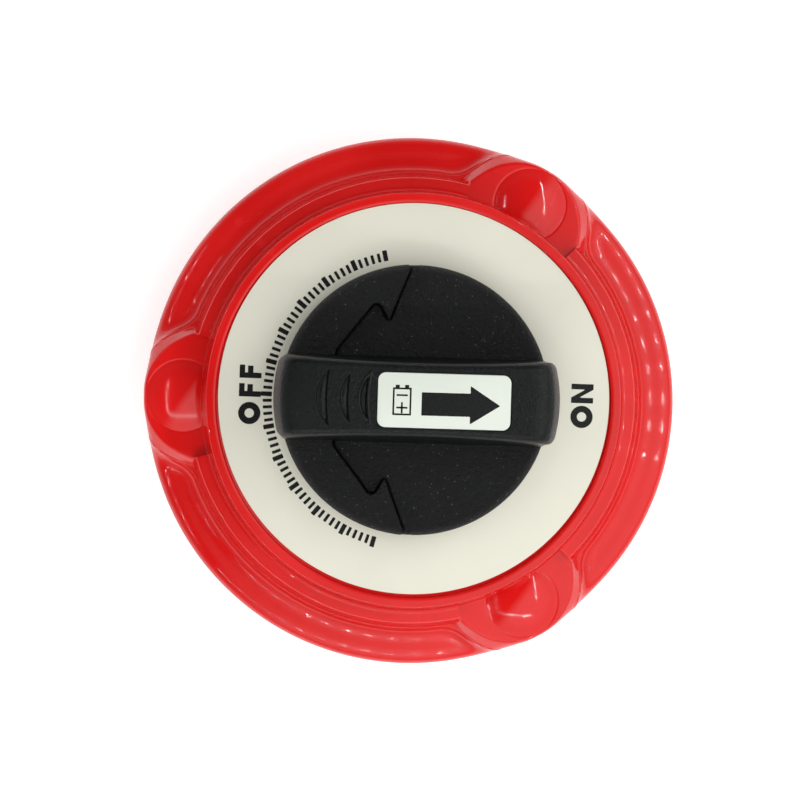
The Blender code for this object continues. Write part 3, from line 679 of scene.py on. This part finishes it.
def printed(part, low):
    """A flat shape, whose heights are 0 and 1, laid on a surface at height low."""
    verts = np.asarray(part[0], float).copy()
    verts[:, 2] = low + verts[:, 2] * INK_THICKNESS
    return verts, part[1]


def flat_shape(outline, corner=0.0):
    points = fillet(outline, corner, 3) if corner else outline
    return plate(points, 0.0, 1.0)


def letter(kind, height, stroke):
    """A bold plain letter standing on the origin, with its left side at x = 0, and its width."""
    ring = stroke
    stroke = stroke * 0.86
    if kind == "O":
        radius = height / 2
        outer, inner = radius * 1.01, radius - ring
        return shifted(lathe([(outer, 0), (outer, 1), (inner, 1), (inner, 0)], 64), outer, radius), outer * 2
    if kind == "F":
        width = height * 0.60
        middle = height * 0.50
        outline = [(0, 0), (stroke, 0), (stroke, middle - stroke / 2), (width * 0.94, middle - stroke / 2),
                   (width * 0.94, middle + stroke / 2), (stroke, middle + stroke / 2), (stroke, height - stroke),
                   (width, height - stroke), (width, height), (0, height)]
        return flat_shape(outline, 0.12), width
    width = height * 0.87
    cut = stroke * 1.45
    outline = [(0, 0), (stroke, 0), (stroke, height - cut), (width - stroke, 0), (width, 0), (width, height),
               (width - stroke, height), (width - stroke, cut), (stroke, height), (0, height)]
    return flat_shape(outline, 0.10), width


def word(text, height, stroke, gap, centre, turn):
    """Letters in a row, centred, turned and moved to their place on the dial."""
    parts, x = [], 0.0
    for kind in text:
        part, width = letter(kind, height, stroke)
        parts.append(shifted(part, x))
        x += width + gap
    whole = shifted(joined(parts), -(x - gap) / 2, -height / 2)
    return spun(whole, turn, centre)


def build_dial():
    low, inner, outer = 27.3, 11.9, 46.88
    outline = fillet([(inner, low), (outer, low), (outer, PLATE_TOP), (inner, PLATE_TOP)], [0.05, 0.05, 0.08, 0.05], 2)
    off_centre = (0.05, 0.38)  # the play of the plate in its recess
    dial = mesh_piece("dial_plate", *shifted(lathe(outline, 256), *off_centre), "switch_body", CREAM, "cream_label",
                      40)
    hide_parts("dial_label")
    prints = []
    for text, radius, place in (("ON", 40.42, 0.0), ("OFF", 39.2, math.pi)):
        centre = (radius * math.cos(place + DIAL_TURN), radius * math.sin(place + DIAL_TURN))
        gap = 0.62 if text == "ON" else 1.28
        prints.append(word(text, 5.28, 1.52, gap, centre, math.pi / 2 + DIAL_TURN))
    for k in range(BARS):
        angle = BARS_START + (BARS_END - BARS_START) * k / (BARS - 1)
        inner, outer, half = (33.95, 36.55, 0.55) if k % 5 == 0 else (33.95, 36.1, 0.36)
        bar = flat_shape([(inner, -half), (outer, -half), (outer, half), (inner, half)], 0.12)
        prints.append(spun(bar, math.radians(angle) + DIAL_TURN))
    verts, faces = joined([printed(part, PLATE_TOP - 0.01) for part in prints])
    mesh_piece("dial_print", verts, faces, "switch_body", INK, "cream_label", 30)


# ---- knob

def arc_points(centre, radius, start, end, steps):
    angles = np.radians(np.linspace(start, end, steps + 1))
    return [(centre[0] + radius * math.cos(a), centre[1] + radius * math.sin(a)) for a in angles]


def step_line(gap=0.0):
    """The step between a wing and the lower face, from the rim to the handle, moved off the wing by gap."""
    line = fillet([(-1.7, 31.3), (-6.6, 18.5), (-9.3, 23.7), (-18.9, 11.3), (-19.3, 8.0)],
                  [0, 0.22, 1.5, 1.2, 0], 5, close=False)
    points = np.array(line)
    along = np.gradient(points, axis=0)
    along /= np.linalg.norm(along, axis=1, keepdims=True)
    return points + np.stack([-along[:, 1], along[:, 0]], -1) * gap


def closely(outline):
    """The outline with points at most 0.8 mm apart, counter-clockwise."""
    dense = []
    for k, here in enumerate(outline):
        after = outline[(k + 1) % len(outline)]
        pieces = max(1, int(math.dist(here, after) / 0.8))
        dense.extend((here[0] + (after[0] - here[0]) * n / pieces, here[1] + (after[1] - here[1]) * n / pieces)
                     for n in range(pieces))
    area = sum(a[0] * b[1] - b[0] * a[1] for a, b in zip(dense, dense[1:] + dense[:1]))
    return dense if area > 0 else dense[::-1]


def rim_arc(start, end):
    """Points on the disc's edge from one point's direction to another's, counter-clockwise."""
    first = math.degrees(math.atan2(start[1], start[0]))
    last = math.degrees(math.atan2(end[1], end[0])) % 360
    return arc_points((0, 0), KNOB_R, first, last if last > first else last + 360, 60)


def wing(side):
    """One raised wing of the knob's disc, at the tail of the arrow. side is 1 or -1."""
    step = [tuple(p) for p in step_line()]
    edge = rim_arc(step[0], (-math.sqrt(KNOB_R ** 2 - 64.0), 8.0))[1:]
    return closely([(x, side * y) for x, y in step[::-1] + edge])


def cover():
    """The lower face between the wings, its edges a narrow gap away from them."""
    step = [tuple(p) for p in step_line(0.45)]
    under = [(x, -y) for x, y in step]
    return closely(step + under[::-1] + rim_arc(under[0], step[0])[1:-1])


def raised(outline, top):
    """A plate on the disc whose rim side follows the disc's round edge and whose step side is a small round."""
    outline = np.array(outline)
    inward = inward_of(outline)
    at_rim = smooth_step(KNOB_R - 0.4, KNOB_R - 0.05, np.hypot(outline[:, 0], outline[:, 1]))
    rings = [np.column_stack([outline, np.full(len(outline), 33.5)])]
    for k in range(7):
        turn = math.pi / 2 * k / 6
        edge = 0.3 + 1.5 * at_rim
        inset = edge * (1 - math.cos(turn))
        level = top - edge * (1 - math.sin(turn))
        rings.append(np.column_stack([outline + inward * inset[:, None], level]))
    count = len(outline)
    faces = sheet_faces(len(rings), count, close_columns=True)
    faces.append(tuple(range(count))[::-1])
    verts = np.concatenate(rings)
    faces += top_fill(verts[(len(rings) - 1) * count:], (len(rings) - 1) * count)
    return verts, faces


def top_fill(loop, base):
    return [tuple(base + k for k in face) for face in tessellate_polygon([[Vector(p) for p in loop]])]


def crescent_depth(x, y):
    """How far the grip's crescent grooves sink into the handle's top, with a faint raised lip round each."""
    depth = np.zeros_like(x)
    for centre, width, half in GROOVES:
        right = centre + width / 2
        big = (half ** 2 + width ** 2) / (2 * width)
        flat = half ** 2 + 0.25
        left_gap = big - np.hypot(x - (right - width + big), y)
        right_gap = np.hypot(x - (right - 0.5 + flat), y) - flat
        inside = np.minimum(left_gap, right_gap)
        lip = 0.10 * np.exp(-(np.minimum(np.abs(inside + 0.22), 3) / 0.16) ** 2)
        bowl = smooth_step(0.0, 0.42, inside) * (1.0 - 0.35 * smooth_step(0.5, 1.3, inside))
        depth = np.maximum(depth, 0.62 * bowl)
        depth = depth - lip * (inside < 0.1)
    return depth


def handle_point(x, y, z):
    """Maps a point on a box's surface to the handle: round edges, tapered waist, bowed ends, falling top."""
    core = np.stack([np.clip(x, -(HANDLE_L - HANDLE_ROUND), HANDLE_L - HANDLE_ROUND),
                     np.clip(y, -(HANDLE_W - HANDLE_ROUND), HANDLE_W - HANDLE_ROUND),
                     np.minimum(z, HANDLE_TOP - HANDLE_ROUND)], -1)
    p = np.stack([x, y, z], -1)
    d = p - core
    length = np.linalg.norm(d, axis=-1, keepdims=True)
    q = core + d / np.maximum(length, 1e-9) * HANDLE_ROUND
    qx, qy, qz = q[..., 0], q[..., 1], q[..., 2]
    rise = np.clip((qz - 36.6) / (HANDLE_TOP - 36.6), 0, 1)
    half_top = 8.35 + 0.95 * (qx / 31) ** 2
    half = HANDLE_W + (half_top - HANDLE_W) * np.clip(rise * 1.25, 0, 1) ** 0.8
    ny = qy * half / HANDLE_W
    beyond = np.clip(np.abs(qx) - 26.2, 0, None)
    fall = 0.035 * beyond ** 2 + 0.0022 * beyond ** 4
    nz = qz - fall * rise
    bow = np.sqrt(np.clip(1 - (ny / 33.0) ** 2, 0, 1))
    nx = qx * (bow * 0.985 + 0.015) + np.sign(qx) * 0.25 * (1 - rise) * smooth_step(28, 32, np.abs(qx))
    on_top = (np.abs(y) < HANDLE_W - 0.01) & (z > HANDLE_TOP - 0.01)
    nz = nz - np.where(on_top, crescent_depth(nx, ny), 0.0)
    return np.stack([nx, ny, nz], -1)


def handle_mesh():
    rounding = HANDLE_ROUND * np.tan(np.linspace(0, math.pi / 4, 8))
    end = HANDLE_L - HANDLE_ROUND
    xs = np.concatenate([-(end + rounding[::-1]), np.arange(-29.6, -23, 0.7), np.arange(-23, -9.5, 0.13),
                         np.arange(-9.0, 30, 0.7), end + rounding])
    ys = np.concatenate([-(HANDLE_W - HANDLE_ROUND + rounding[::-1]), np.arange(-8.0, 8.05, 0.2),
                         HANDLE_W - HANDLE_ROUND + rounding])
    xs, ys = np.unique(np.round(xs, 4)), np.unique(np.round(ys, 4))
    zs = np.concatenate([[HANDLE_LOW, 36.0, 36.6], np.arange(37.2, HANDLE_TOP - HANDLE_ROUND - 0.2, 1.0),
                         HANDLE_TOP - HANDLE_ROUND + rounding])
    zs = np.unique(np.round(zs, 4))

    def side(a, b, place):
        first, second = np.meshgrid(a, b, indexing="ij")
        return handle_point(*place(first, second, np.ones_like(first))).reshape(-1, 3), sheet_faces(len(a), len(b))

    parts = [side(xs, ys, lambda x, y, one: (x, y, HANDLE_TOP * one))]
    parts += [side(xs, zs, lambda x, z, one: (x, width * one, z)) for width in (-HANDLE_W, HANDLE_W)]
    parts += [side(ys, zs, lambda y, z, one: (length * one, y, z)) for length in (-HANDLE_L, HANDLE_L)]
    return joined(parts)


def cut(piece, solid, turn):
    """Takes a solid, in millimetres, out of a piece."""
    mesh = bpy.data.meshes.new("cutter")
    mesh.from_pydata([tuple(Vector(p) * MM) for p in solid[0]], [], solid[1])
    mesh.transform(turn)
    shape = bmesh.new()
    shape.from_mesh(mesh)
    bmesh.ops.recalc_face_normals(shape, faces=shape.faces)
    shape.to_mesh(mesh)
    shape.free()
    tool = bpy.data.objects.new("cutter", mesh)
    bpy.context.scene.collection.objects.link(tool)
    change = piece.modifiers.new("cut", "BOOLEAN")
    change.operation = "DIFFERENCE"
    change.object = tool
    bpy.context.view_layer.update()
    done = bpy.data.meshes.new_from_object(piece.evaluated_get(bpy.context.evaluated_depsgraph_get()))
    piece.modifiers.clear()
    piece.data = done
    done.set_sharp_from_angle(angle=math.radians(50))
    bpy.data.objects.remove(tool)


def build_knob():
    turn = Matrix.Rotation(KNOB_TURN, 4, "Z")
    outline = [(0, DISC_TOP), (KNOB_R - 2.2, DISC_TOP)]
    outline += [(KNOB_R - DISC_ROUND * (1 - math.sin(a)), DISC_TOP - DISC_ROUND * (1 - math.cos(a)))
                for a in np.radians(np.linspace(0, 90, 8))]
    outline += [(KNOB_R, 33.0), (KNOB_R, 29.0), (KNOB_R - 0.25, 28.4), (KNOB_R - 0.8, DISC_BOTTOM),
                (29.2, DISC_BOTTOM), (29.0, 28.5), (29.0, 33.4), (10.7, 33.4), (10.5, 33.2), (10.5, 28.4),
                (10.3, DISC_BOTTOM), (0, DISC_BOTTOM)]
    mesh_piece("knob_disc", *lathe(outline, 256, close=False), "selector", GRAIN, "black_textured_plastic", 40, turn)
    wings = joined([raised(wing(1), WING_TOP), raised(wing(-1), WING_TOP), raised(cover(), COVER_TOP)])
    mesh_piece("knob_wings", *wings, "selector", GRAIN, "black_textured_plastic", 40, turn)
    handle = mesh_piece("knob_handle", *handle_mesh(), "selector", SATIN, "black_textured_plastic", 70, turn)
    (left, right), (near, far) = LABEL_X, LABEL_Y
    room = fillet([(left, near), (right, near), (right, far), (left, far)], 2.0, 8)
    cut(handle, plate(room, LABEL_FLOOR, 60.0), turn)
    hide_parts("knob")

    left, right, near, far = left + LABEL_PLAY, right - LABEL_PLAY, near + LABEL_PLAY, far - LABEL_PLAY
    face = fillet([(left, near), (right, near), (right, far), (left, far)], 1.8, 8)
    label = mesh_piece("knob_label_plate", *plate(face, LABEL_FLOOR + 0.1, LABEL_TOP, 0.22, 4), "selector", WHITE,
                       "white_label", 60, turn)
    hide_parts("knob_label")
    tail, neck, tip, middle = 0.9, 11.8, 18.5, -0.92
    arrow = [(tail, middle - 2.6), (neck, middle - 2.6), (neck, middle - 4.3), (tip, middle),
             (neck, middle + 4.3), (neck, middle + 2.6), (tail, middle + 2.6)]
    marks = [flat_shape(arrow, 0.1)]
    cell = (-3.5, -0.5)
    case = ((-2.1, -3.1, 2.1, -2.7), (-2.1, 2.7, 2.1, 3.1), (-2.1, -2.7, -1.7, 2.7), (1.7, -2.7, 2.1, 2.7))
    posts = ((-1.5, 3.1, -0.6, 3.7), (0.6, 3.1, 1.5, 3.7))
    minus_and_plus = ((-1.25, 1.2, 1.25, 1.6), (-1.25, -1.6, 1.25, -1.2), (-0.2, -2.65, 0.2, -0.15))
    for x0, y0, x1, y1 in case + posts + minus_and_plus:
        marks.append(shifted(flat_shape([(x0, y0), (x1, y0), (x1, y1), (x0, y1)]), *cell))
    verts, faces = joined([printed(mark, LABEL_TOP - 0.01) for mark in marks])
    mesh_piece("knob_print", verts, faces, "selector", INK, "white_label", 30, turn)


# ---- back

def thread(radius, low, high, depth, columns=48):
    """The surface of a screw thread between two heights, as a grid of rows from low to high."""
    count = int(round((high - low) / PITCH * 8)) + 1
    heights = np.linspace(low, high, count)
    angles = np.linspace(0, 2 * math.pi, columns, endpoint=False)
    phase = (heights[:, None] / PITCH - angles / (2 * math.pi)) % 1.0
    valley = np.clip(1.15 - np.abs(phase - 0.5) * 3.0, 0, 1)
    run_out = np.clip(np.minimum(heights - low, high - heights) / PITCH, 0, 1)[:, None]
    radii = radius - depth * valley * run_out
    grid = np.stack([radii * np.cos(angles), radii * np.sin(angles), np.repeat(heights[:, None], columns, 1)], -1)
    return grid.reshape(-1, 3), count


def ring_rows(levels, columns=48):
    angles = np.linspace(0, 2 * math.pi, columns, endpoint=False)
    return np.concatenate([ring_at(angles, radius, height) for radius, height in levels])


def stud_part():
    """A threaded stud with a round head, its end chamfered."""
    lead = ring_rows([(0.0, STUD_END), (3.9, STUD_END), (4.1, STUD_END + 0.1)])
    body, count = thread(STUD_R, STUD_END + 0.8, HEAD_LOW - 1.5, 0.62)
    head = ring_rows([(STUD_R, HEAD_LOW), (HEAD_SIZE - 0.2, HEAD_LOW), (HEAD_SIZE, HEAD_LOW + 0.2),
                      (HEAD_SIZE, HEAD_HIGH - 0.5), (HEAD_SIZE - 0.12, HEAD_HIGH - 0.15),
                      (HEAD_SIZE - 0.5, HEAD_HIGH), (0.0, HEAD_HIGH)])
    return np.concatenate([lead, body, head]), sheet_faces(3 + count + 7, 48, close_columns=True)


def nut_part(low, high, columns=96):
    """A hexagon nut with its corners chamfered and a chamfered, threaded bore."""
    corner = NUT_FLAT / math.cos(math.radians(30))
    angles = np.linspace(0, 2 * math.pi, columns, endpoint=False)
    hexagon = NUT_FLAT / np.cos((angles + math.pi / 6) % (math.pi / 3) - math.pi / 6)
    hexagon = np.minimum(hexagon, corner - 0.12)
    slope = math.tan(math.radians(30))
    first, last = NUT_FLAT - 0.3, corner + 0.05  # where the chamfer's cone starts and ends
    rows = []
    for step in range(9):
        limit = first + (last - first) * step / 8
        radius = np.minimum(hexagon, limit)
        rows.append((radius, low + 0.02 + (radius - first) * slope))
    outside = rows + [(r, high + low - z) for r, z in rows[::-1]]
    grid = [np.stack([r * np.cos(angles), r * np.sin(angles), z], -1) for r, z in outside]
    top = ring_rows([(NUT_FLAT - 1.2, high), (HOLE_R + 0.55, high), (HOLE_R, high - 0.5)], columns)
    bore, count = thread(HOLE_R, low + 0.5, high - 0.5, 0.0, columns)
    bore = bore.reshape(count, columns, 3)[::-1]
    phase = (bore[..., 2] / PITCH - angles / (2 * math.pi)) % 1.0
    scale = (HOLE_R + 0.28 * np.clip(1 - np.abs(phase - 0.5) * 3, 0, 1)) / HOLE_R
    bore = bore * np.stack([scale, scale, np.ones_like(scale)], -1)
    foot = ring_rows([(HOLE_R + 0.55, low), (NUT_FLAT - 1.2, low)], columns)
    verts = np.concatenate([np.concatenate(grid), top, bore.reshape(-1, 3), foot])
    return verts, sheet_faces(len(verts) // columns, columns, close_rows=True, close_columns=True)


def washer_part(low, high, radius):
    outline = fillet([(HOLE_R, low), (radius, low), (radius, high), (HOLE_R, high)], [0.12, 0.3, 0.3, 0.12], 3)
    return lathe(outline, 96)


def lock_part(low, high, rise=0.5, steps=120):
    """A spring washer, cut through and wound a little."""
    outer, thick = 8.65, high - low - rise
    section = fillet([(HOLE_R, 0), (outer, 0), (outer, thick), (HOLE_R, thick)], 0.2, 2)
    rings = []
    for k in range(steps + 1):
        a = math.radians(8 + 344 * k / steps)
        rings.append([(r * math.cos(a), r * math.sin(a), low + rise * k / steps + z) for r, z in section])
    count = len(section)
    faces = sheet_faces(steps + 1, count, close_columns=True)
    faces += [tuple(range(count))[::-1], tuple(range(steps * count, (steps + 1) * count))]
    return np.concatenate([np.array(ring) for ring in rings]), faces


def build_terminals():
    for number, (x, y) in enumerate(STUD_AT, 1):
        stud = mesh_piece(f"stud_{number}", *shifted(stud_part(), x, y), "switch_body", COPPER, "copper", 40)
        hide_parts(f"terminal_stud_{number}")
        stack = {"clamp_washer": washer_part(-1.1, 0.5, 10.3), "clamp_nut": nut_part(-6.9, -1.4),
                 "terminal_washer": washer_part(-8.8, -7.2, 10.3), "lock_washer": lock_part(-11.7, -9.1),
                 "terminal_nut": nut_part(-20.3, -12.0)}
        for kind, part in stack.items():
            piece = mesh_piece(f"{kind}_{number}_fine", *shifted(part, x, y), "switch_body", STEEL,
                               "stainless_steel", 28)
            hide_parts(f"{kind}_{number}")


def softened(names, mat, width):
    """Stand-ins for CAD parts of the back with their edges rounded a little."""
    for name in names:
        mesh = NODES[name].data.copy()
        mesh.materials.clear()
        piece = finish_piece(f"{name}_soft", mesh, "switch_body", mat, 35)
        bevel = piece.modifiers.new("edges", "BEVEL")
        bevel.width = width * MM
        bevel.segments = 2
        bevel.limit_method = "ANGLE"
        bevel.angle_limit = math.radians(40)
        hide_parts(name)


def build_back():
    build_terminals()
    softened(["base_plate"], PHENOLIC, 0.18)
    softened([f"case_screw_{k}" for k in (1, 2, 3)], STEEL, 0.06)
    softened([f"mount_insert_{k}" for k in (1, 2, 3)], BRASS, 0.1)


# ---- stage

def area_light(name, place, target, width, height, power, tint=(1, 1, 1), gloss=True):
    light = bpy.data.lights.new(name, "AREA")
    light.shape = "RECTANGLE"
    light.size, light.size_y = width, height
    light.energy = power
    light.color = tint
    made = bpy.data.objects.new(name, light)
    made.location = place
    made.rotation_euler = (Vector(target) - Vector(place)).to_track_quat("-Z", "Y").to_euler()
    made.visible_glossy = gloss
    bpy.context.scene.collection.objects.link(made)
    return made


def led_row(name, start, end, count, power):
    """A row of small square lamps, as in the edge of a light tent, all facing the object."""
    start, end = Vector(start), Vector(end)
    for k in range(count):
        area_light(f"{name}_{k + 1}", start.lerp(end, k / (count - 1)), (0, 0, 0), 0.005, 0.005, power)


def studio_world():
    """White near the horizon, darker overhead and to the upper left, as inside a light tent."""
    world = bpy.data.worlds.new("studio")
    world.use_nodes = True
    tree = world.node_tree
    toward = node(tree, "TexCoord").outputs["Generated"]
    up = node(tree, "SeparateXYZ", {"Vector": toward}).outputs["Z"]
    side = node(tree, "VectorMath", {0: toward, 1: (4.2, -3.1, 0.0)}, operation="DOT_PRODUCT").outputs["Value"]
    overhead = span(tree, side, -0.34, 0.85, 0.07, 1.25)
    share = span(tree, up, 0.1, 0.7, 0.0, 1.0)
    level = 0.42  # at the horizon, before the bright band low down is added
    change = math_node(tree, "MULTIPLY", share, math_node(tree, "SUBTRACT", overhead, level))
    strength = math_node(tree, "ADD", math_node(tree, "ADD", change, level), span(tree, up, 0.0, 0.2, 0.4, 0.0))
    tree.links.new(strength, tree.nodes["Background"].inputs["Strength"])
    tree.nodes["Background"].inputs["Color"].default_value = (1, 1, 1, 1)
    bpy.context.scene.world = world


def build_stage():
    scene = bpy.context.scene
    size, z = 3.0, cad_low.z - 0.0002
    mesh = bpy.data.meshes.new("floor")
    mesh.from_pydata([(-size, -size, z), (size, -size, z), (size, size, z), (-size, size, z)], [], [(0, 1, 2, 3)])
    mat, _, shader = shader_of("floor_paper", Roughness=0.9)
    shader.inputs["Base Color"].default_value = (0.92, 0.92, 0.92, 1)
    shader.inputs["Emission Color"].default_value = (1, 1, 1, 1)
    shader.inputs["Emission Strength"].default_value = 0.45
    mesh.materials.append(mat)
    floor = bpy.data.objects.new("floor", mesh)
    scene.collection.objects.link(floor)

    studio_world()
    area_light("soft_key", (0.12, -0.34, 0.62), (0, 0, 0), 0.6, 0.6, 0.65, gloss=False)
    area_light("soft_fill", (-0.30, 0.25, 0.80), (0, 0, 0), 0.8, 0.8, 0.9, gloss=False)
    led_row("right_lamp", (0.27, -0.05, 0.43), (0.27, 0.49, 0.43), 19, 0.026)
    led_row("front_lamp", (-0.30, -0.30, 0.43), (0.21, -0.30, 0.43), 18, 0.020)
    led_row("left_lamp", (-0.32, -0.24, 0.43), (-0.32, 0.24, 0.43), 17, 0.018)

    camera = bpy.data.cameras.new("camera")
    camera.sensor_width = 36.0
    camera.lens = 74.41
    camera.shift_x = 0.06
    camera.shift_y = 0.0095
    camera.clip_start = 0.01
    made = bpy.data.objects.new("camera", camera)
    made.matrix_world = Matrix.Rotation(CAMERA_TURN, 4, "Z") @ Matrix.Translation((-0.0147, -0.00178, 0.424))
    scene.collection.objects.link(made)
    scene.camera = made
    scene.view_settings.view_transform = "Standard"


def dress_cad():
    """Every CAD node that still shows gets its finished material."""
    finishes = {"red_gloss_plastic": RED, "cream_label": CREAM, "black_textured_plastic": GRAIN, "white_label": WHITE,
                "black_phenolic": PHENOLIC, "white_nylon": NYLON, "black_rubber": RUBBER, "copper": COPPER,
                "brass": BRASS, "stainless_steel": STEEL}
    slots = {part["node"]: part["material_slot"] for part in frame["record"]["subparts"]}
    for name, obj in NODES.items():
        obj.data.materials.clear()
        obj.data.materials.append(finishes[slots[name]])


dress_cad()
build_housing()
build_dial()
build_knob()
build_back()
build_stage()
